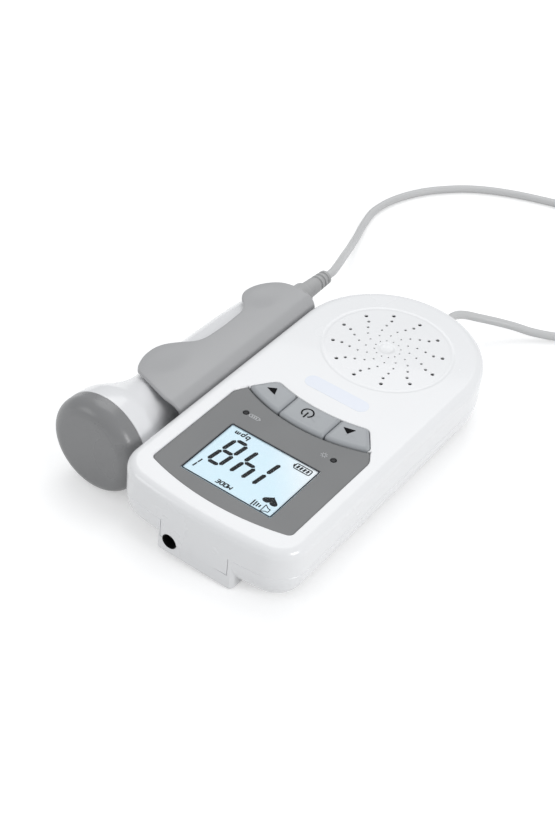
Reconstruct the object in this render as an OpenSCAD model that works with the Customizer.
// Pocket fetal doppler with its probe held in a side clip.
// Most pieces are drawn in the casing's own frame: X across the casing, Y from the
// display end to the loudspeaker end, Z up from the underside of the battery bulge.
// The whole casing leans a little, because the probe head is thicker than the casing
// and both stand on the same table.

/* [Casing] */
// Length of the casing
case_l = 136; // [130:1:150]
// Width of the casing
case_w = 65.6; // [65:0.2:70]
// Height from the underside of the battery bulge to the flat top
case_h = 23.2; // [23:0.1:26]
// Height of the parting line between the two casings
parting_z = 12.5; // [12:0.1:13]
// Height of the flat underside beside the battery bulge
underside_z = 3.2; // [3:0.1:4.2]
// Wall of both casings
wall = 2; // [1.6:0.1:2.2]
// Radius of the soft top edge
top_edge_r = 3.2; // [2.4:0.1:3.6]
// Radius of the two corners at the display end
corner_r = 10.5; // [9:0.5:14]
// Radius of the shallow curve of the display end
near_curve_r = 180; // [150:5:300]
// Inward sweep of the rounded underside
belly_sweep = 4.5; // [4:0.5:9.5]

/* [Battery bulge] */
// Width of the bulge under the display end
bulge_w = 29.2; // [29:0.1:31]
// Length of the bulge behind the display end
bulge_l = 72.6; // [72.4:0.2:80]
// Radius of the upright corners of the bulge
bulge_corner_r = 2.6; // [1.5:0.1:3]
// Diameter of one cell
cell_d = 10.5; // [10.3:0.1:10.7]
// Length of one cell without its contact button
cell_l = 43.7; // [43:0.1:44]
// Thickness of the battery door
door_t = 1.3; // [1.1:0.1:1.4]
// Distance that the battery door slides
door_travel = 52; // [40:1:54]

/* [Display and keys] */
// Width of the grey display panel
panel_w = 52.4; // [50:0.2:54]
// Thickness of the display panel
panel_t = 1.2; // [1:0.1:1.3]
// Depth of the panel's face below the flat top
panel_sink = 0.4; // [0.2:0.1:0.6]
// Width of the display window
window_w = 33.9; // [30:0.1:36]
// Length of the display window along the casing
window_l = 26.2; // [22:0.1:27]
// Height of the keys above the flat top
key_rise = 0.8; // [0.4:0.1:1.2]
// Distance that a key travels
key_travel = 0.8; // [0.5:0.1:0.8]
// Diameter of the two indicator lamps
lamp_d = 1.9; // [1.5:0.1:2.2]

/* [Loudspeaker] */
// Radius of the outer ring of sound holes
grille_r = 18.5; // [17:0.5:19]
// Diameter of the outer sound holes
outer_hole_d = 1.35; // [1.2:0.05:2]
// Diameter of the inner sound holes
inner_hole_d = 0.55; // [0.45:0.05:1]
// Number of spiral arms of sound holes
grille_arms = 12; // [8:1:14]
// Diameter of the loudspeaker
speaker_d = 40; // [39:0.5:41]
// Diameter of the loudspeaker's magnet
magnet_d = 22; // [18:0.5:26]

/* [Power socket] */
// Diameter of the hole for the charger plug
socket_d = 5.4; // [5:0.1:5.8]
// Depth of the socket's bore behind the wall
socket_depth = 10; // [8:0.5:11]

/* [Probe] */
// Diameter of the probe head
head_d = 34; // [33.4:0.2:34.4]
// Length of the grey cap on the probe head
cap_l = 7.8; // [7.4:0.1:9]
// Rounding of the cap's front rim
cap_round = 5; // [3:0.5:5.5]
// Diameter of the middle of the handle
handle_d = 22.2; // [21:0.2:22.4]
// Length of the probe from its face to the end of the handle
handle_l = 97; // [96:0.5:98]
// Diameter of the grey collar behind the handle
collar_d = 8.4; // [8:0.1:9]
// Length of the collar
collar_l = 16.5; // [15:0.5:17]
// Diameter of the strain relief
boot_d = 5.6; // [5.2:0.1:6]
// Length of the strain relief
boot_l = 13; // [12.5:0.1:13.2]
// Angle by which the tapered handle toes in towards the casing
toe = 1.43; // [1:0.01:1.6]
// Distance that the probe slides to leave its clip
probe_travel = 140; // [130:1:150]

/* [Probe clip] */
// Length of the clip along the casing
clip_l = 76.5; // [74:0.5:78]
// Width of the clip over its finger lobes
clip_w = 26; // [25:0.2:26.4]
// Wall of the clip
clip_t = 1.5; // [1.4:0.1:1.6]
// Radius of the clip's domed top
clip_dome_r = 48; // [44:1:60]

/* [Cord] */
// Diameter of the cord
cord_d = 3; // [2.9:0.1:3.1]
// Distance between neighbouring turns in the coil
coil_pitch = 3.5; // [3.45:0.05:3.6]
// Radius of the middle turn of the coil
coil_mid_r = 16.5; // [16:0.5:18]
// Full turns of the coil
coil_turns = 8; // [6:1:9]

/* [Hidden] */

// Colours as photographed
white = [0.94, 0.94, 0.95];
clip_grey = [0.67, 0.67, 0.67];
cap_grey = [0.51, 0.51, 0.51];
panel_grey = [0.49, 0.495, 0.5];
key_grey = [0.65, 0.66, 0.67];
cord_grey = [0.78, 0.78, 0.78];
boot_grey = [0.69, 0.69, 0.69];

// Clearances and cutting
fit = 0.3;
seat = 0.1;
cut = 1;
fine = 96;
smooth = 48;
coarse = 24;

// Casing outline
half_w = case_w / 2;
near_y = -case_l / 2;
far_y = case_l / 2;
far_arc_y = far_y - half_w;
near_arc_y = near_y + near_curve_r;
corner_x = half_w - corner_r;
corner_y = near_arc_y - sqrt(pow(near_curve_r - corner_r, 2) - pow(corner_x, 2));
near_turn = asin(corner_x / (near_curve_r - corner_r));

// Points of the casing's outline, moved inwards by an inset, counter-clockwise
function arc_points(x, y, r, from, to, steps) =
    [for (i = [0:steps]) let (a = from + (to - from) * i / steps) [x + r * cos(a), y + r * sin(a)]];
function outline(inset) = concat(
    arc_points(0, far_arc_y, half_w - inset, 0, 180, 28),
    arc_points(-corner_x, corner_y, corner_r - inset, 180, 270 - near_turn, 8),
    arc_points(0, near_arc_y, near_curve_r - inset, 270 - near_turn * 0.8, 270 + near_turn * 0.8, 6),
    arc_points(corner_x, corner_y, corner_r - inset, 270 + near_turn, 360, 8));

// Solid through a stack of outlines, each given as an inset and a height
module loft(sections) {
    rings = [for (s = sections) [for (p = outline(s[0])) [p[0], p[1], s[1]]]];
    n = len(rings[0]);
    m = len(rings);
    sides = [for (j = [0:m - 2]) for (i = [0:n - 1]) let (k = (i + 1) % n)
        each [[j * n + i, (j + 1) * n + i, (j + 1) * n + k], [j * n + i, (j + 1) * n + k, j * n + k]]];
    low = [[for (i = [0:n - 1]) i]];
    high = [[for (i = [n - 1:-1:0]) (m - 1) * n + i]];
    polyhedron([for (r = rings) each r], concat(sides, low, high), convexity = 4);
}

// Sections of the shells, from the parting line outwards
edge_steps = 4;
belly_steps = 5;
top_sections = concat([[0, parting_z]], [for (i = [0:edge_steps]) let (a = 90 * i / edge_steps)
    [top_edge_r * (1 - cos(a)), case_h - top_edge_r * (1 - sin(a))]]);
inner_edge_r = top_edge_r - wall * 0.6;
top_inner_sections = concat([[wall, parting_z - cut]], [for (i = [0:edge_steps]) let (a = 90 * i / edge_steps)
    [wall + inner_edge_r * (1 - cos(a)), case_h - wall - inner_edge_r * (1 - sin(a))]]);
function belly(sweep, start, top, low) = [for (i = [belly_steps:-1:0]) let (a = 90 * i / belly_steps)
    [start + sweep * (1 - cos(a)), top - (top - low) * sin(a)]];
belly_sections = belly(belly_sweep, 0, parting_z, underside_z);
belly_inner_sections = concat(
    belly(belly_sweep - wall, wall, parting_z, underside_z + wall), [[wall, parting_z + cut]]);

// Display panel and keys, in the same frame
panel_x = 0.3;
panel_far_y = near_y + 57.5;
panel_corner_r = 2;
panel_near_y = near_y + 7.4;
panel_near_r = 86;
panel_arc_y = panel_near_y + panel_near_r;
panel_corner_x = panel_w / 2 - panel_corner_r;
panel_corner_y = panel_arc_y - sqrt(pow(panel_near_r - panel_corner_r, 2) - pow(panel_corner_x, 2));
panel_shoulder = 2.7;
panel_shoulder_l = 4.6;
panel_z = case_h - panel_sink;
recess_floor_t = 1.4;
window_y = near_y + 26.9;
key_low_r = 55.7;
key_low_y = near_y + 107.9;
key_high_r = 58.7;
key_high_y = near_y + 121.6;
key_end_y = near_y + 57.8;
key_top_half = 17.6;
key_end_half = 23.5;
key_end_drop = 7.8;
key_split = 8.6;
key_gap = 0.4;
key_round = 0.9;
lamp_x = 16.85;
lamp_y = near_y + 46.9;

// Stack of pieces below the panel, from the flat top down
floor_z = panel_z - panel_t - recess_floor_t;
flange_t = 0.8;
flange_top = floor_z - seat;
flange_grow = 0.8;
membrane_t = 0.4;
dome_h = 0.5;
board_t = 1.6;
board_top = flange_top - flange_t - key_travel - seat - dome_h - membrane_t;
board_z = board_top - board_t;
board_half_w = 24;
board_clear = 3.6;
board_near_y = near_y + 7.6;

holder_t = 1.9;
holder_rim = 2.4;
glass_t = 1.7;
lens_t = 0.8;

// Sound holes: rings by share of the grille's radius, turned along each arm
grille_y = far_y - 32.4;
ring_shares = [0.24, 0.4, 0.55, 0.69, 0.835, 1];
ring_turns = [36.5, 24.5, 14, 4.5, -2.3, -3.6];
groove_r = 21.7;
groove_w = 0.7;
groove_depth = 0.3;
button_r = 3.1;
button_depth = 0.35;

// Loudspeaker
gasket_t = 0.6;
basket_rim_t = 1;
basket_h = 5;
basket_rim_w = 3;
cone_t = 0.4;
surround_w = 1.4;
magnet_h = 4.5;
speaker_z = case_h - wall - gasket_t;
board_far_y = grille_y - speaker_d / 2 - board_clear;

// Screws and their posts
screw_x = 23.5;
screw_near_y = near_y + 12.6;
screw_mid_y = near_y + 70.6;
screw_far_x = 18;
screw_far_y = far_y - 14.4;
screw_places = [[-screw_x, screw_near_y], [screw_x, screw_near_y], [-screw_x, screw_mid_y],
    [screw_x, screw_mid_y], [-screw_far_x, screw_far_y], [screw_far_x, screw_far_y]];
post_r = 2.8;
screw_r = 1.05;
screw_head_r = 2.2;
screw_head_t = 1.6;
screw_head_z = underside_z + 0.9;
screw_l = 11;
slot_w = 0.6;
slot_depth = 0.6;

// Battery bay
rail_t = 2.4;
bay_half_w = bulge_w / 2 - rail_t;
bay_wall = 1.5;
bay_near_y = near_y + 20.6;
contact_t = 0.4;
spring_l = 2.7;
nub_l = 0.8;
nub_r = 1.9;
bay_l = cell_l + nub_l + spring_l + contact_t * 2;
bay_far_y = bay_near_y + bay_l;
bulge_far_y = near_y + bulge_l;
door_z = 0.3;
cell_z = door_z + door_t + fit + cell_d / 2;
cell_x = cell_d / 2 + 0.75;
bay_top = cell_z + cell_d / 2 + fit;
bay_roof_t = 0.9;
door_tongue_w = 0.8;
door_tongue_t = 0.6;
door_lip_t = 1.7;
grip_ribs = 5;
grip_pitch = 1.6;
grip_depth = 0.3;

// Power socket and the tongue of the upper casing round it
socket_x = -9.25;
socket_z = case_h - 17.6;
tongue_left = 12.9;
tongue_right = 12.4;
tongue_t = 2.2;
tongue_bottom = socket_z - socket_d / 2 - 0.5;
tongue_gap = 0.2;
socket_body_w = 7.6;
socket_body_l = 13;
bulge_floor_t = 1.4;

// Cord outlet of the casing
outlet_x = 1;
grommet_r = 2.7;
grommet_flange_r = 3.5;
grommet_flange_t = 0.6;
grommet_out = 1;
grommet_in = 2.4;
grommet_lip = 1.1;

// Rubber feet
foot_r = 4;
foot_x = 19;
foot_y = far_y - 27.4;

// Probe: its axis passes beside the casing and low enough for the head to reach the table
head_r = head_d / 2;
probe_gap = 0.4;
probe_x = -(half_w + probe_gap + head_r);
probe_z = case_h - 12.1;
probe_face_y = near_y + 10.5;
cap_wall = 1.5;
spigot_l = 3.2;
spigot_gap = 0.15;
handle_wall = 1.8;
handle_shares = [[0, 1, 0], [0.036, 0.985, 0], [0.075, 0.945, 0], [0.131, 0.81, 0], [0.193, 0, 1.057],
    [0.249, 0, 0.973], [0.327, 0, 0.981], [0.529, 0, 1], [0.753, 0, 1], [0.899, 0, 0.953],
    [0.966, 0, 0.85], [1, 0, 0.71]];
handle_stations = [for (p = handle_shares)
    [cap_l + p[0] * (handle_l - cap_l), p[1] * head_r + p[2] * handle_d / 2]];

// Lean of the casing: the line under the head and the right edge of the bulge is level
bulge_half = bulge_w / 2;
lean_reach = sqrt(pow(probe_x - bulge_half, 2) + pow(probe_z, 2));
lean = asin(head_r / lean_reach) - atan2(probe_z, bulge_half - probe_x);
left_reach = probe_x * cos(lean) + probe_z * sin(lean) - head_r;
right_reach = (half_w - top_edge_r) * cos(lean) + (case_h - top_edge_r) * sin(lean) + top_edge_r;
row_x = -(left_reach + right_reach) / 2;
row_z = bulge_half * sin(lean);
foot_drop = (foot_x + foot_r - bulge_half) * tan(lean);

// Clip: the plan of its top as shares of its width and length
clip_near_y = near_y + 33.6;
clip_shares = [[0, 0.005], [0.3, 0.012], [0.758, 0.067], [0.865, 0.095], [0.945, 0.141], [0.995, 0.2],
    [0.992, 0.258], [0.925, 0.303], [0.79, 0.345], [0.65, 0.386], [0.585, 0.431], [0.565, 0.497],
    [0.558, 0.565], [0.563, 0.635], [0.58, 0.695], [0.655, 0.738], [0.755, 0.775], [0.82, 0.818],
    [0.815, 0.866], [0.755, 0.912], [0.65, 0.954], [0.53, 0.983], [0.4, 0.996], [0.28, 1],
    [0.13, 0.99], [0, 0.972]];
clip_side_gap = 0.6;
clip_x = -(half_w + clip_side_gap);
clip_dome_x = clip_x - 11.1;
clip_dome_z = case_h + 1.3 - clip_dome_r;
clip_edge_r = 3;
clip_web_inset = 2;
cradle_gap = 1.2;
cradle_t = 1.7;
cradle_r = handle_d / 2 + cradle_gap;
cradle_end = -150;
cradle_x = probe_x + 1.6;
cradle_near_y = near_y + 46;
cradle_l = 58;
clip_foot_reach = 19;
clip_foot_l = 13;
clip_foot_gap = 8.1;
clip_foot_places = [near_y + 40, foot_y - foot_r - clip_foot_gap - clip_foot_l / 2];
clip_screw_x = -20;
clip_boss_r = 3;
thumb_r = 40;
thumb_depth = 0.35;
thumb_places = [[-18, 16.5], [-12, 64]];

// Cord routes, points in the standing frame
probe_route = [[-30.1, 69.25, 16.7], [-30, 73, 16.6], [-31, 77, 16.1], [-32.8, 82, 15], [-35.8, 89, 12.6],
    [-39, 96, 9.8], [-42.1, 103, 7.1], [-45.2, 110, 4.8], [-48, 117, 3], [-50.8, 124, 1.9],
    [-53, 131, 1.5], [-54.6, 138.5, 1.5], [-54.3, 146, 1.5], [-52.6, 153, 1.5], [-49.5, 160, 1.5],
    [-45.2, 166.5, 1.5], [-40, 172, 1.5], [-34, 177, 1.5], [-27, 181, 1.5], [-19.5, 184, 1.5],
    [-11.5, 186.3, 1.5], [-3.5, 188, 1.5], [4.5, 189.3, 1.6], [12.5, 190.4, 1.8], [20.5, 191.3, 2.1],
    [28.5, 192.1, 2.3], [36.5, 192.85, 2.4], [41.95, 193.35, 2.4]];
unit_route = [[70.7, 167, 5.85], [70.8, 159, 5.5], [70.8, 151, 4.7], [70.5, 143, 3.7], [69.8, 135.5, 2.7],
    [68, 128, 1.9], [64.8, 121, 1.5], [59.8, 115, 1.5], [53.3, 109.7, 1.5], [46, 105, 1.9],
    [39, 101.2, 3], [33, 97.8, 5], [27.4, 93.4, 7.3], [23, 89, 9.5], [19.8, 85, 11.6],
    [18.1, 81, 13], [17.8, 77, 13.6], [17.87, 73, 13.7], [17.87, 69, 13.7]];

// Coil: it enters at one angle, spirals in on the low layer and out on the high one
coil_x = 47;
coil_y = 170;
coil_in_angle = 95;
tie_t = 0.8;
tie_w = 9;
tie_gap = 0.1;
coil_low_z = tie_t + tie_gap + cord_d / 2;
coil_layer = 3.45;
coil_sweep = coil_in_angle + coil_turns * 360;
coil_inner_r = coil_mid_r - coil_pitch * coil_sweep / 1440;
coil_outer_r = coil_mid_r + coil_pitch * coil_sweep / 1440;
coil_steps = 24 * coil_turns + 7;
tie_angle = 215;

module in_place() translate([row_x, 0, row_z]) rotate([0, lean, 0]) children();

// Sweep of a round section along a route
function unit(v) = v / norm(v);
function heading(path, i) = unit(path[min(i + 1, len(path) - 1)] - path[max(i - 1, 0)]);
function ring(path, i, r, sides) = let (t = heading(path, i), s = unit(cross(t, [0, 0, 1])), u = cross(s, t))
    [for (k = [0:sides - 1]) let (a = 360 * (k + 0.5) / sides) path[i] + r * (cos(a) * s + sin(a) * u)];
module tube(path, r, sides) {
    n = len(path);
    points = [for (i = [0:n - 1]) each ring(path, i, r, sides)];
    skin = [for (i = [0:n - 2]) for (k = [0:sides - 1]) let (j = (k + 1) % sides)
        each [[i * sides + k, (i + 1) * sides + k, (i + 1) * sides + j],
              [i * sides + k, (i + 1) * sides + j, i * sides + j]]];
    ends = [[for (k = [0:sides - 1]) k], [for (k = [sides - 1:-1:0]) (n - 1) * sides + k]];
    polyhedron(points, concat(skin, ends), convexity = 8);
}

// Smooth closed or open line through hand-set points
function blend(a, b, c, d, t) = 0.5 * (2 * b + (c - a) * t + (2 * a - 5 * b + 4 * c - d) * t * t
    + (3 * b - a - 3 * c + d) * t * t * t);
function smooth_line(p, steps) = [for (i = [0:len(p) - 2]) for (k = [0:steps - 1])
    blend(p[max(i - 1, 0)], p[i], p[i + 1], p[min(i + 2, len(p) - 1)], k / steps)];

// Round-cornered plate of exact arcs
module rounded(w, l, r) {
    for (sx = [-1, 1]) for (sy = [-1, 1])
        translate([sx * (w / 2 - r), sy * (l / 2 - r)]) circle(r, $fn = smooth);
    square([w - 2 * r, l], center = true);
    square([w, l - 2 * r], center = true);
}

// Area of the three keys, grown by a clearance
module key_area(grow) {
    intersection() {
        translate([panel_x, key_low_y]) circle(key_low_r + grow, $fn = fine * 2);
        difference() {
            polygon([[panel_x - key_end_half - grow, key_low_y - key_low_r - cut],
                [panel_x + key_end_half + grow, key_low_y - key_low_r - cut],
                [panel_x + key_end_half + grow, key_end_y + grow * 0.6],
                [panel_x + key_top_half + grow * 0.6, key_end_y + key_end_drop + grow],
                [panel_x - key_top_half - grow * 0.6, key_end_y + key_end_drop + grow],
                [panel_x - key_end_half - grow, key_end_y + grow * 0.6]]);
            translate([panel_x, key_high_y]) circle(key_high_r - grow, $fn = fine * 2);
        }
    }
}

// Area of the display panel, shrunk by a clearance
module panel_area(shrink, lap) {
    wide = panel_w / 2 - shrink;
    spread = panel_corner_x / (panel_arc_y - panel_corner_y);
    difference() {
        translate([panel_x, 0]) {
            intersection() {
                translate([0, panel_arc_y]) circle(panel_near_r - shrink, $fn = fine * 2);
                translate([0, panel_arc_y])
                    polygon([[0, 0], [-case_l * spread, -case_l], [case_l * spread, -case_l]]);
            }
            for (s = [-1, 1]) translate([s * panel_corner_x, panel_corner_y])
                circle(panel_corner_r - shrink, $fn = smooth);
            polygon([[-wide, panel_corner_y], [wide, panel_corner_y], [wide, panel_far_y - panel_shoulder_l],
                [wide - panel_shoulder, panel_far_y - shrink], [panel_shoulder - wide, panel_far_y - shrink],
                [-wide, panel_far_y - panel_shoulder_l]]);
        }
        translate([panel_x, key_low_y]) circle(key_low_r + lap, $fn = fine * 2);
    }
}

module upper_casing() color(white) in_place() difference() {
    union() {
        difference() {
            loft(top_sections);
            loft(top_inner_sections);
        }
        // Floor under the panel's recess, tied to the walls
        intersection() {
            loft(top_sections);
            translate([panel_x - panel_w / 2 - wall, near_y, floor_z])
                cube([panel_w + 2 * wall, panel_far_y - near_y, case_h - floor_z - wall / 2]);
        }
        // Screw posts
        for (p = screw_places) translate([p[0], p[1], parting_z])
            cylinder(h = case_h - wall / 2 - parting_z, r = post_r, $fn = coarse);
        // Tongue that drops over the face of the battery bulge
        intersection() {
            translate([0, 0, tongue_bottom]) linear_extrude(parting_z - tongue_bottom + wall)
                polygon(outline(0));
            linear_extrude(parting_z + wall) bulge_plan(0);
            translate([-tongue_left, near_y - cut, tongue_bottom])
                cube([tongue_left + tongue_right, tongue_t + cut, parting_z - tongue_bottom + wall]);
        }
    }
    translate([0, 0, panel_z - panel_t]) linear_extrude(panel_sink + panel_t + cut) panel_area(-seat, 0);
    translate([0, 0, floor_z - cut]) linear_extrude(case_h - floor_z + 2 * cut) key_area(fit);
    translate([panel_x, window_y, floor_z - cut])
        linear_extrude(case_h) rounded(window_w + 2 * fit, window_l + 2 * fit, fit);
    for (s = [-1, 1]) translate([panel_x + s * lamp_x, lamp_y, floor_z - cut])
        cylinder(h = case_h, d = lamp_d + 2 * seat, $fn = coarse);
    sound_holes();
    translate([0, grille_y, case_h - groove_depth]) difference() {
        cylinder(h = cut, r = groove_r + groove_w / 2, $fn = fine);
        translate([0, 0, -cut]) cylinder(h = 3 * cut, r = groove_r - groove_w / 2, $fn = fine);
    }
    translate([0, grille_y, case_h - button_depth]) cylinder(h = cut, r = button_r, $fn = smooth);
    for (p = screw_places) translate([p[0], p[1], parting_z - cut])
        cylinder(h = screw_l + cut - (parting_z - screw_head_z) + fit, r = screw_r + seat, $fn = coarse);
    translate([socket_x, near_y - cut, socket_z]) rotate([-90, 0, 0])
        cylinder(h = tongue_t + 3 * cut, d = socket_d, $fn = smooth);
    outlet_hole();
}

module sound_holes() {
    for (k = [0:len(ring_shares) - 1]) for (arm = [0:grille_arms - 1])
        let (a = ring_turns[k] + 360 * arm / grille_arms, r = grille_r * ring_shares[k])
            translate([r * cos(a), grille_y + r * sin(a), case_h - wall - cut])
                cylinder(h = wall + 2 * cut,
                    d = inner_hole_d + (outer_hole_d - inner_hole_d) * ring_shares[k] * ring_shares[k],
                        $fn = 16);
}

module outlet_hole() translate([outlet_x, far_y - wall - grommet_in, parting_z]) rotate([-90, 0, 0])
    cylinder(h = wall + grommet_in + cut, r = grommet_r, $fn = smooth);

module bulge_plan(grow) translate([0, near_y + bulge_l / 2])
    rounded(bulge_w + 2 * grow, bulge_l + 2 * grow, bulge_corner_r);

module lower_casing() color(white) in_place() difference() {
    union() {
        difference() {
            union() {
                loft(belly_sections);
                intersection() {
                    linear_extrude(parting_z) bulge_plan(0);
                    linear_extrude(parting_z) polygon(outline(0));
                }
            }
            loft(belly_inner_sections);
            // Room for the socket in the front of the bulge
            translate([bulge_floor_t - bulge_half, near_y + tongue_t + tongue_gap, bulge_floor_t])
                cube([bulge_w - 2 * bulge_floor_t, bay_near_y - bay_wall - near_y - tongue_t - tongue_gap,
                    case_h]);
        }
        // Battery bay
        translate([-bulge_half, bay_near_y - bay_wall, underside_z])
            cube([bulge_w, bay_l + 2 * bay_wall, bay_top + bay_roof_t - underside_z]);
        // Pillars that carry the main board
        for (sx = [-1, 1]) for (y = [bay_near_y + bay_wall, bay_far_y - bay_wall])
            translate([sx * cell_x, y, bay_top]) cylinder(h = board_z - bay_top, r = bay_wall, $fn = coarse);
        for (p = screw_places) translate([p[0], p[1], screw_head_z])
            cylinder(h = parting_z - screw_head_z, r = post_r, $fn = coarse);
        for (y = clip_foot_places) translate([clip_screw_x, y, underside_z + wall / 2])
            cylinder(h = parting_z - underside_z - wall, r = clip_boss_r, $fn = coarse);
        for (s = [-1, 1]) translate([s * foot_x, foot_y, underside_z])
            cylinder(h = wall, r = foot_r, $fn = smooth);
    }
    // Bay open to the door
    translate([-bay_half_w, bay_near_y, -cut]) cube([2 * bay_half_w, bay_l, bay_top + cut]);
    translate([-bay_half_w, bay_near_y, -cut])
        cube([2 * bay_half_w, bulge_far_y - bay_near_y + cut, door_z + door_t + fit + cut]);
    translate([-bay_half_w - seat, bulge_far_y - door_lip_t - 2 * fit, -cut])
        cube([2 * bay_half_w + 2 * seat, door_lip_t + 2 * fit + cut, underside_z + cut]);
    // Grooves for the door's side tongues
    translate([-bay_half_w - door_tongue_w - fit, bay_near_y, door_z + door_t - door_tongue_t - fit])
        cube([2 * (bay_half_w + door_tongue_w + fit), bulge_far_y - bay_near_y + cut, door_tongue_t + 2 * fit]);
    // Seat of the upper casing's tongue
    translate([-tongue_left - tongue_gap, near_y - cut, tongue_bottom - tongue_gap])
        cube([tongue_left + tongue_right + 2 * tongue_gap, tongue_t + tongue_gap + cut, parting_z]);
    for (p = screw_places) translate([p[0], p[1], -cut]) {
        cylinder(h = screw_head_z + screw_head_t + cut, r = screw_head_r + seat, $fn = smooth);
        cylinder(h = case_h, r = screw_r + seat, $fn = coarse);
    }
    for (y = clip_foot_places) translate([clip_screw_x, y, -cut])
        cylinder(h = parting_z - wall - bay_roof_t + cut, r = screw_r + seat, $fn = coarse);
    outlet_hole();
}

module battery_door() color(white) in_place() {
    door_half = bay_half_w - fit;
    translate([-door_half, bay_near_y + fit, door_z])
        cube([2 * door_half, bulge_far_y - bay_near_y - fit, door_t]);
    translate([-door_half - door_tongue_w, bay_near_y + 2 * fit, door_z + door_t - door_tongue_t])
        cube([2 * (door_half + door_tongue_w), bulge_far_y - bay_near_y - 3 * fit, door_tongue_t]);
    difference() {
        translate([-door_half, bulge_far_y - door_lip_t, door_z])
            cube([2 * door_half, door_lip_t, underside_z - door_z - fit]);
        translate([0, bulge_far_y, door_z + grip_depth])
            rotate([45, 0, 0]) cube([bulge_w, grip_depth * 2, grip_depth * 2], center = true);
    }
    // Grip ribs by the far edge
    for (i = [1:grip_ribs]) translate([-door_half / 3, bulge_far_y - door_lip_t - i * grip_pitch,
        door_z - grip_depth / 2])
        cube([door_half * 2 / 3, grip_pitch / 2, grip_depth]);
}

module display_panel() color(panel_grey) in_place() translate([0, 0, panel_z - panel_t]) linear_extrude(panel_t)
    difference() {
        panel_area(seat, key_gap);
        translate([panel_x, window_y]) rounded(window_w, window_l, fit);
        for (s = [-1, 1]) translate([panel_x + s * lamp_x, lamp_y]) circle(d = lamp_d + 2 * seat, $fn = coarse);
    }

module display_window() color([0.8, 0.9, 0.95, 0.4]) in_place()
    translate([panel_x, window_y, panel_z - seat - lens_t])
        linear_extrude(lens_t) rounded(window_w - 2 * seat, window_l - 2 * seat, seat);

module lcd_glass() color([0.8, 0.92, 0.97]) in_place()
    translate([panel_x, window_y, panel_z - seat - lens_t - glass_t])
        linear_extrude(glass_t) rounded(window_w - 2 * seat, window_l - 2 * seat, seat);

module lcd_holder() color(white) in_place() {
    top = panel_z - seat - lens_t - glass_t;
    translate([panel_x, window_y, board_top]) {
        linear_extrude(top - board_top) rounded(window_w - 2 * seat, window_l - 2 * seat, seat);
        linear_extrude(min(holder_t, floor_z - seat - board_top))
            rounded(window_w + 2 * holder_rim, window_l + 2 * holder_rim, holder_rim / 2);
    }
}

module key(from, to) in_place() {
    translate([0, 0, flange_top - flange_t / 2])
        linear_extrude(case_h + key_rise - flange_top - key_round + flange_t / 2)
        key_slice(0, from, to);
    translate([0, 0, case_h + key_rise - key_round]) key_crown(from, to);
    translate([0, 0, flange_top - flange_t]) linear_extrude(flange_t)
        key_slice(flange_grow, from - (from < -key_end_half ? flange_grow : 0),
            to + (to > key_end_half ? flange_grow : 0));
}

// Rounded crown of a key in two steps
module key_crown(from, to) {
    linear_extrude(key_round / 2) key_slice(-key_round / 6, from + key_round / 6, to - key_round / 6);
    linear_extrude(key_round) key_slice(-key_round / 2, from + key_round / 2, to - key_round / 2);
}

module key_slice(grow, from, to) intersection() {
    key_area(grow);
    translate([panel_x + from, near_y]) square([to - from, case_l]);
}

module left_key() color(key_grey) key(-key_end_half - 2 * flange_grow, -key_split - key_gap / 2);
module power_key() color(key_grey) key(-key_split + key_gap / 2, key_split - key_gap / 2);
module right_key() color(key_grey) key(key_split + key_gap / 2, key_end_half + 2 * flange_grow);

// Rubber sheet with a dome under each key
key_centres = [[-14.5, near_y + 59.4], [0, near_y + 57.5], [14.5, near_y + 59.4]];
module key_membrane() color([0.85, 0.85, 0.87]) in_place() {
    translate([0, 0, board_top]) linear_extrude(membrane_t) intersection() {
        key_area(flange_grow);
        translate([-case_w, window_y + window_l / 2 + holder_rim + fit]) square([2 * case_w, case_l]);
    }
    for (p = key_centres) translate([panel_x + p[0], p[1], board_top])
        cylinder(h = membrane_t + dome_h, r = flange_grow * 3, $fn = coarse);
}

module main_board() color([0.1, 0.4, 0.2]) in_place() difference() {
    translate([-board_half_w, board_near_y, board_z])
        cube([2 * board_half_w, board_far_y - board_near_y, board_t]);
    for (p = screw_places) translate([p[0], p[1], board_z - cut])
        cylinder(h = board_t + 2 * cut, r = post_r + fit, $fn = coarse);
    for (s = [-1, 1]) translate([panel_x + s * lamp_x, lamp_y, board_z + board_t / 2])
        cylinder(h = board_t, d = lamp_d, $fn = coarse);
}

// Chips and capacitors soldered under and on the board beyond the keys
chip_t = 1.5;
chip_w = 9;
can_r = 2.5;
can_h = 4;
module board_chips() color([0.12, 0.12, 0.13]) in_place() {
    for (s = [-1, 1]) translate([s * (board_half_w - chip_w), board_near_y + chip_w * 2, board_z - chip_t / 2])
        cube([chip_w, chip_w, chip_t], center = true);
    translate([0, board_far_y - chip_w * 0.6, board_z - chip_t / 2])
        cube([chip_w * 2, chip_w, chip_t], center = true);
    for (s = [-1, 1]) translate([s * (board_half_w - can_r * 2), bay_far_y - can_r * 4, board_z - can_h])
        cylinder(h = can_h, r = can_r, $fn = coarse);
}

module lamp(side) in_place() translate([panel_x + side * lamp_x, lamp_y, board_z + board_t / 2])
    cylinder(h = panel_z - board_z - board_t / 2 - seat / 2, d = lamp_d, $fn = coarse);
module charge_lamp() color([0.15, 0.15, 0.17]) lamp(-1);
module power_lamp() color([0.15, 0.15, 0.17]) lamp(1);

speaker_r = speaker_d / 2;
module speaker_gasket() color([0.2, 0.2, 0.2]) in_place() translate([0, grille_y, speaker_z]) difference() {
    cylinder(h = gasket_t, r = speaker_r, $fn = fine);
    translate([0, 0, -cut]) cylinder(h = gasket_t + 2 * cut, r = speaker_r - basket_rim_w / 2, $fn = fine);
}

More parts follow.
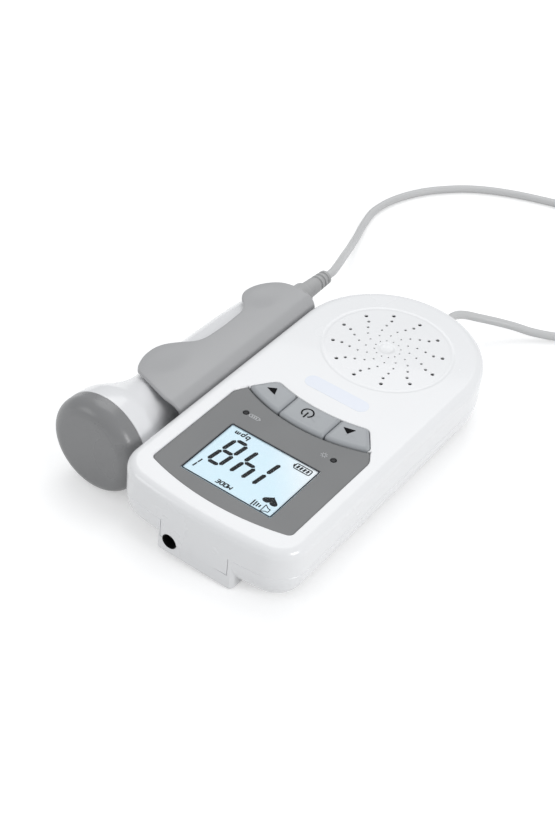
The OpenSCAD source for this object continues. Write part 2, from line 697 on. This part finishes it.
module speaker_basket() color([0.3, 0.3, 0.32]) in_place() translate([0, grille_y, speaker_z])
    rotate_extrude($fn = fine) polygon([[speaker_r, 0], [speaker_r, -basket_rim_t],
        [speaker_r - basket_rim_w, -basket_rim_t * 1.4], [magnet_d / 2, -basket_h], [0, -basket_h],
        [0, -basket_h + basket_rim_t], [magnet_d / 2 - basket_rim_t / 2, -basket_h + basket_rim_t],
        [speaker_r - basket_rim_w, -cone_t], [speaker_r - surround_w, -cone_t], [speaker_r - surround_w, 0]]);

module speaker_cone() color([0.15, 0.15, 0.16]) in_place() translate([0, grille_y, speaker_z])
    rotate_extrude($fn = fine)
        polygon([[speaker_r - surround_w - seat, 0], [speaker_r - surround_w - seat, -cone_t],
        [speaker_r - basket_rim_w - seat, -cone_t], [magnet_d / 4, -basket_h * 0.6], [0, -basket_h * 0.4],
        [0, cone_t - basket_h * 0.4], [magnet_d / 4, cone_t - basket_h * 0.6], [speaker_r - basket_rim_w, 0]]);

module speaker_magnet() color([0.4, 0.4, 0.42]) in_place()
    translate([0, grille_y, speaker_z - basket_h - magnet_h])
        cylinder(h = magnet_h, d = magnet_d, $fn = smooth);

// Two cells side by side, the second turned end for end
module cell_at(side) translate([side * cell_x, side < 0 ? bay_near_y + contact_t : bay_far_y - contact_t,
    cell_z])
    rotate([side < 0 ? -90 : 90, 0, 0]) {
        cylinder(h = nub_l, r = nub_r, $fn = smooth);
        translate([0, 0, nub_l]) cylinder(h = cell_l, d = cell_d - 2 * seat, $fn = smooth);
    }
module battery_cells() color([0.25, 0.3, 0.35]) in_place() for (side = [-1, 1]) cell_at(side);

module battery_contacts() color([0.75, 0.75, 0.72]) in_place() for (side = [-1, 1])
    for (y = [bay_near_y, bay_far_y - contact_t])
        translate([side * cell_x - cell_d * 0.4, y, cell_z - cell_d * 0.4])
            cube([cell_d * 0.8, contact_t, cell_d * 0.8]);

module battery_springs() color([0.7, 0.7, 0.7]) in_place() for (side = [-1, 1])
    translate([side * cell_x, side < 0 ? bay_far_y - contact_t : bay_near_y + contact_t, cell_z])
        rotate([side < 0 ? 90 : -90, 0, 0])
            rotate_extrude($fn = smooth) polygon([[nub_r, 0], [cell_d * 0.35, 0],
                [nub_r * 1.2, spring_l], [nub_r * 0.8, spring_l]]);

module dc_socket() color([0.06, 0.06, 0.06]) in_place() difference() {
    translate([socket_x - socket_body_w / 2, near_y + tongue_t + tongue_gap, bulge_floor_t])
        cube([socket_body_w, socket_body_l, socket_z - bulge_floor_t + socket_body_w / 2]);
    translate([socket_x, near_y, socket_z]) rotate([-90, 0, 0])
        cylinder(h = tongue_t + socket_depth, d = socket_d, $fn = smooth);
}

// Rubber bush in the parting line, square to the far wall
module cord_grommet() color(boot_grey) in_place() translate([outlet_x, far_y, parting_z]) rotate([-90, 0, 0])
    rotate_extrude($fn = smooth)
        polygon([[0, -wall - grommet_in], [grommet_flange_r - seat, -wall - grommet_in],
        [grommet_flange_r - seat, -wall - grommet_in + grommet_lip],
            [grommet_r - seat, -wall - grommet_in + grommet_lip],
        [grommet_r - seat, seat],
        [grommet_flange_r, seat], [grommet_flange_r, grommet_flange_t], [grommet_r, grommet_out],
            [0, grommet_out]]);

module screw_shape(l, head_t) {
    difference() {
        cylinder(h = head_t, r = screw_head_r, $fn = smooth);
        for (a = [0, 90]) rotate(a) translate([0, 0, -slot_depth / 2])
            cube([screw_head_r * 1.3, slot_w, slot_depth * 2], center = true);
    }
    translate([0, 0, head_t]) cylinder(h = l - head_t, r = screw_r, $fn = coarse);
}
module casing_screws() color([0.6, 0.6, 0.6]) in_place() for (p = screw_places)
    translate([p[0], p[1], screw_head_z]) translate([0, 0, screw_head_t]) screw_flush(screw_l - screw_head_t);
module screw_flush(l) {
    translate([0, 0, -screw_head_t - slot_depth]) screw_shape(l + screw_head_t, screw_head_t + slot_depth);
}

module rubber_feet() color([0.25, 0.25, 0.25]) in_place() for (s = [-1, 1])
    translate([s * foot_x, foot_y, foot_drop]) cylinder(h = underside_z - foot_drop, r = foot_r, $fn = smooth);

// Plan of the clip's top
module clip_plan() polygon(concat([for (p = smooth_line(clip_shares, 3))
    [clip_x - p[0] * clip_w, clip_near_y + p[1] * clip_l]], [[clip_x, clip_near_y + clip_l * 0.972]]));

// Section of the clip's top and upright web, moved inwards by an inset
module clip_section(inset) {
    cx = clip_x - clip_edge_r;
    dx = cx - clip_dome_x;
    cz = clip_dome_z + sqrt(pow(clip_dome_r - clip_edge_r, 2) - dx * dx);
    tx = clip_dome_x + dx * clip_dome_r / (clip_dome_r - clip_edge_r);
    intersection() {
        translate([clip_dome_x, clip_dome_z]) circle(clip_dome_r - inset, $fn = fine * 3);
        translate([tx - clip_w * 2, cz - clip_dome_r / 2]) square([clip_w * 2, clip_dome_r]);
    }
    translate([cx, cz]) circle(clip_edge_r - inset, $fn = smooth);
    translate([cx - clip_w, underside_z - clip_t - 2 * inset])
        square([clip_w + clip_edge_r - inset, cz - underside_z + clip_t + 2 * inset]);
}

module probe_clip() color(clip_grey) in_place() {
    difference() {
        intersection() {
            translate([0, clip_near_y + clip_l * 1.5, 0]) rotate([90, 0, 0])
                linear_extrude(clip_l * 2) difference() {
                    clip_section(0);
                    clip_section(clip_t);
                }
            translate([0, 0, probe_z + cradle_r / 2]) linear_extrude(case_h) clip_plan();
        }
        for (p = thumb_places) translate([clip_x + p[0], clip_near_y + p[1], case_h + thumb_r + clip_t / 2])
            sphere(thumb_r + thumb_depth, $fn = fine);
    }
    // Upright web beside the casing
    translate([clip_x - clip_t, clip_near_y + clip_web_inset, underside_z - clip_t])
        cube([clip_t, clip_l * 0.97 - 2 * clip_web_inset, case_h - clip_edge_r - underside_z + clip_t]);
    // Cradle under the handle
    translate([cradle_x, cradle_near_y + cradle_l, probe_z]) rotate([90, 0, 0])
        linear_extrude(cradle_l) {
            difference() {
                circle(cradle_r + cradle_t, $fn = fine);
                circle(cradle_r, $fn = fine);
                polygon(concat([[0, 0]], arc_points(0, 0, cradle_r * 3, 0, 360 + cradle_end, 12)));
            }
            rotate(cradle_end) translate([cradle_r + cradle_t / 2, 0]) circle(cradle_t / 2, $fn = coarse);
        }
    // Feet screwed under the casing
    for (y = clip_foot_places) difference() {
        translate([clip_x - clip_t, y - clip_foot_l / 2, underside_z - clip_t])
            cube([clip_foot_reach, clip_foot_l, clip_t]);
        translate([clip_screw_x, y, underside_z - clip_t - cut]) {
            cylinder(h = 2 * clip_t + cut, r = screw_r + seat, $fn = coarse);
            cylinder(h = cut + clip_t / 2, r = screw_head_r + seat, $fn = smooth);
        }
    }
}

module clip_screws() color([0.6, 0.6, 0.6]) in_place() for (y = clip_foot_places)
    translate([clip_screw_x, y, underside_z - clip_t]) screw_shape(clip_t * 4, clip_t / 2);

// Probe pieces are turned about the probe's own axis, measured from its face
module on_probe() in_place() translate([probe_x, probe_face_y, probe_z]) rotate([0, 0, -toe])
    rotate([-90, 0, 0]) children();

handle_line = smooth_line(handle_stations, 4);
handle_end = handle_stations[len(handle_stations) - 1];
function handle_profile(inset) = [for (p = concat(handle_line, [handle_end])) if (p[0] > cap_l + inset)
    [max(p[1] - inset, inset), p[0]]];

module probe_handle() color(white) on_probe() rotate_extrude($fn = fine) difference() {
    polygon(concat([[0, cap_l - spigot_l], [head_r - cap_wall - spigot_gap, cap_l - spigot_l],
        [head_r - cap_wall - spigot_gap, cap_l + seat], [head_r - seat, cap_l + seat]],
        handle_profile(0), [[0, handle_l]]));
    polygon(concat([[0, cap_l - spigot_l - cut], [head_r - 2 * cap_wall - spigot_gap, cap_l - spigot_l - cut],
        [head_r - 2 * cap_wall - spigot_gap, cap_l + handle_wall]],
        handle_profile(handle_wall), [[collar_d * 0.36, handle_l + cut], [0, handle_l + cut]]));
}

module probe_cap() color(cap_grey) on_probe() rotate_extrude($fn = fine) difference() {
    union() {
        square([head_r - cap_round, cap_l]);
        translate([0, cap_round]) square([head_r, cap_l - cap_round]);
        translate([head_r - cap_round, cap_round]) circle(cap_round, $fn = smooth);
    }
    translate([-cut, -cut]) square([cut, cap_l + 2 * cut]);
    translate([-cut, cap_l]) square([head_r, cap_round]);
    translate([0, cap_wall]) square([head_r - cap_round, cap_l]);
    translate([0, cap_round]) square([head_r - cap_wall, cap_l]);
    translate([head_r - cap_round, cap_round]) circle(cap_round - cap_wall, $fn = smooth);
}

// Two half-moon crystals, one to send and one to listen, behind the face
crystal_t = 1;
crystal_gap = 1;
module crystal_discs() color([0.8, 0.75, 0.6]) on_probe() translate([0, 0, cap_wall + seat / 2]) difference() {
    cylinder(h = crystal_t, r = head_r - cap_round - seat, $fn = smooth);
    translate([-head_r, -crystal_gap / 2, -cut]) cube([head_d, crystal_gap, crystal_t + 2 * cut]);
}

backing_t = 1.6;
module backing_disc() color([0.3, 0.3, 0.32]) on_probe() translate([0, 0, cap_wall + crystal_t + seat])
    cylinder(h = backing_t, r = head_r - cap_round, $fn = smooth);

probe_board_t = 1.2;
probe_board_start = handle_l * 0.35;
probe_board_l = handle_l * 0.515;
module probe_board() color([0.1, 0.4, 0.2]) on_probe() {
    w = 2 * (handle_d / 2 * 0.955 - handle_wall - fit);
    translate([-w / 2, -probe_board_t / 2, probe_board_start]) cube([w, probe_board_t, probe_board_l]);
}

collar_flange_t = 1.6;
collar_flange_r = 7;
collar_neck = 4;
module probe_collar() color(boot_grey) on_probe() rotate_extrude($fn = smooth)
    polygon([[0, handle_l - handle_wall],
    [collar_d * 0.34, handle_l - handle_wall], [collar_d * 0.34, handle_l + seat / 2],
    [collar_flange_r, handle_l + seat / 2], [collar_flange_r, handle_l + collar_flange_t],
    [collar_d / 2, handle_l + collar_flange_t + collar_neck],
        [collar_d / 2, handle_l + collar_l - cap_wall / 2],
    [collar_d / 2 - cap_wall / 4, handle_l + collar_l], [0, handle_l + collar_l]]);

// Strain relief with three grooves near its end
groove_l = 0.9;
groove_step = 2.1;
groove_cut = 0.5;
module probe_boot() color(boot_grey) on_probe() {
    start = handle_l + collar_l;
    difference() {
        translate([0, 0, start]) cylinder(h = boot_l, r1 = boot_d / 2 + groove_cut,
            r2 = boot_d / 2 - groove_cut / 4, $fn = smooth);
        for (i = [1:3]) translate([0, 0, start + boot_l - i * groove_step]) difference() {
            cylinder(h = groove_l, r = boot_d, $fn = smooth);
            translate([0, 0, -cut]) cylinder(h = groove_l + 2 * cut, r = boot_d / 2 - groove_cut, $fn = smooth);
        }
    }
}

module probe_cord() color(cord_grey) tube(probe_route, cord_d / 2, 8);
module unit_cord() color(cord_grey) tube(unit_route, cord_d / 2, 8);

// Height and radius along the coil, by the angle turned since it began
function coil_radius(turned) = coil_inner_r + coil_pitch * abs(turned - coil_sweep / 2) / 360;
function coil_climb(turned) = min(max((turned - coil_sweep / 2 + 90) / 180, 0), 1);
function coil_point(turned) = let (a = coil_in_angle - turned, r = coil_radius(turned), c = coil_climb(turned))
    [coil_x + r * cos(a), coil_y + r * sin(a), coil_low_z + coil_layer * c * c * (3 - 2 * c)];
coil_loops = [for (i = [0:coil_steps]) coil_point(coil_sweep * i / coil_steps)];
coil_start = coil_loops[0] - cord_d * [sin(coil_in_angle), -cos(coil_in_angle), 0];
coil_end = coil_loops[coil_steps] - cord_d * [0, 1, 0];
coil_path = concat([coil_start], coil_loops, [coil_end]);
module cord_coil() color(cord_grey) tube(coil_path, cord_d / 2, 6);

// Least clear gap between one turn and any other
coil_skip = 12;
coil_least = min([for (i = [0:coil_steps]) for (j = [i + coil_skip:1:coil_steps])
    norm(coil_loops[i] - coil_loops[j])]) - cord_d;
echo(least_gap_between_turns = coil_least);

// Band closed round all the turns at one place
module coil_tie() color([0.3, 0.3, 0.3]) translate([coil_x, coil_y, 0]) rotate([0, 0, tie_angle]) {
    inner = coil_inner_r - cord_d / 2 - coil_pitch / 2;
    outer = coil_outer_r + cord_d / 2 + tie_gap;
    high = coil_low_z + coil_layer + cord_d / 2 + tie_gap;
    difference() {
        translate([inner - tie_t, -tie_w / 2, 0]) cube([outer - inner + 2 * tie_t, tie_w, high + tie_t]);
        translate([inner, -tie_w, tie_t]) cube([outer - inner, 2 * tie_w, high - tie_t]);
    }
}

upper_casing();
lower_casing();
battery_door();
display_panel();
display_window();
lcd_glass();
lcd_holder();
left_key();
power_key();
right_key();
key_membrane();
main_board();
board_chips();
charge_lamp();
power_lamp();
speaker_basket();
speaker_cone();
speaker_magnet();
speaker_gasket();
battery_cells();
battery_contacts();
battery_springs();
dc_socket();
cord_grommet();
casing_screws();
rubber_feet();
probe_clip();
clip_screws();
probe_handle();
probe_cap();
crystal_discs();
backing_disc();
probe_board();
probe_collar();
probe_boot();
probe_cord();
cord_coil();
coil_tie();
unit_cord();
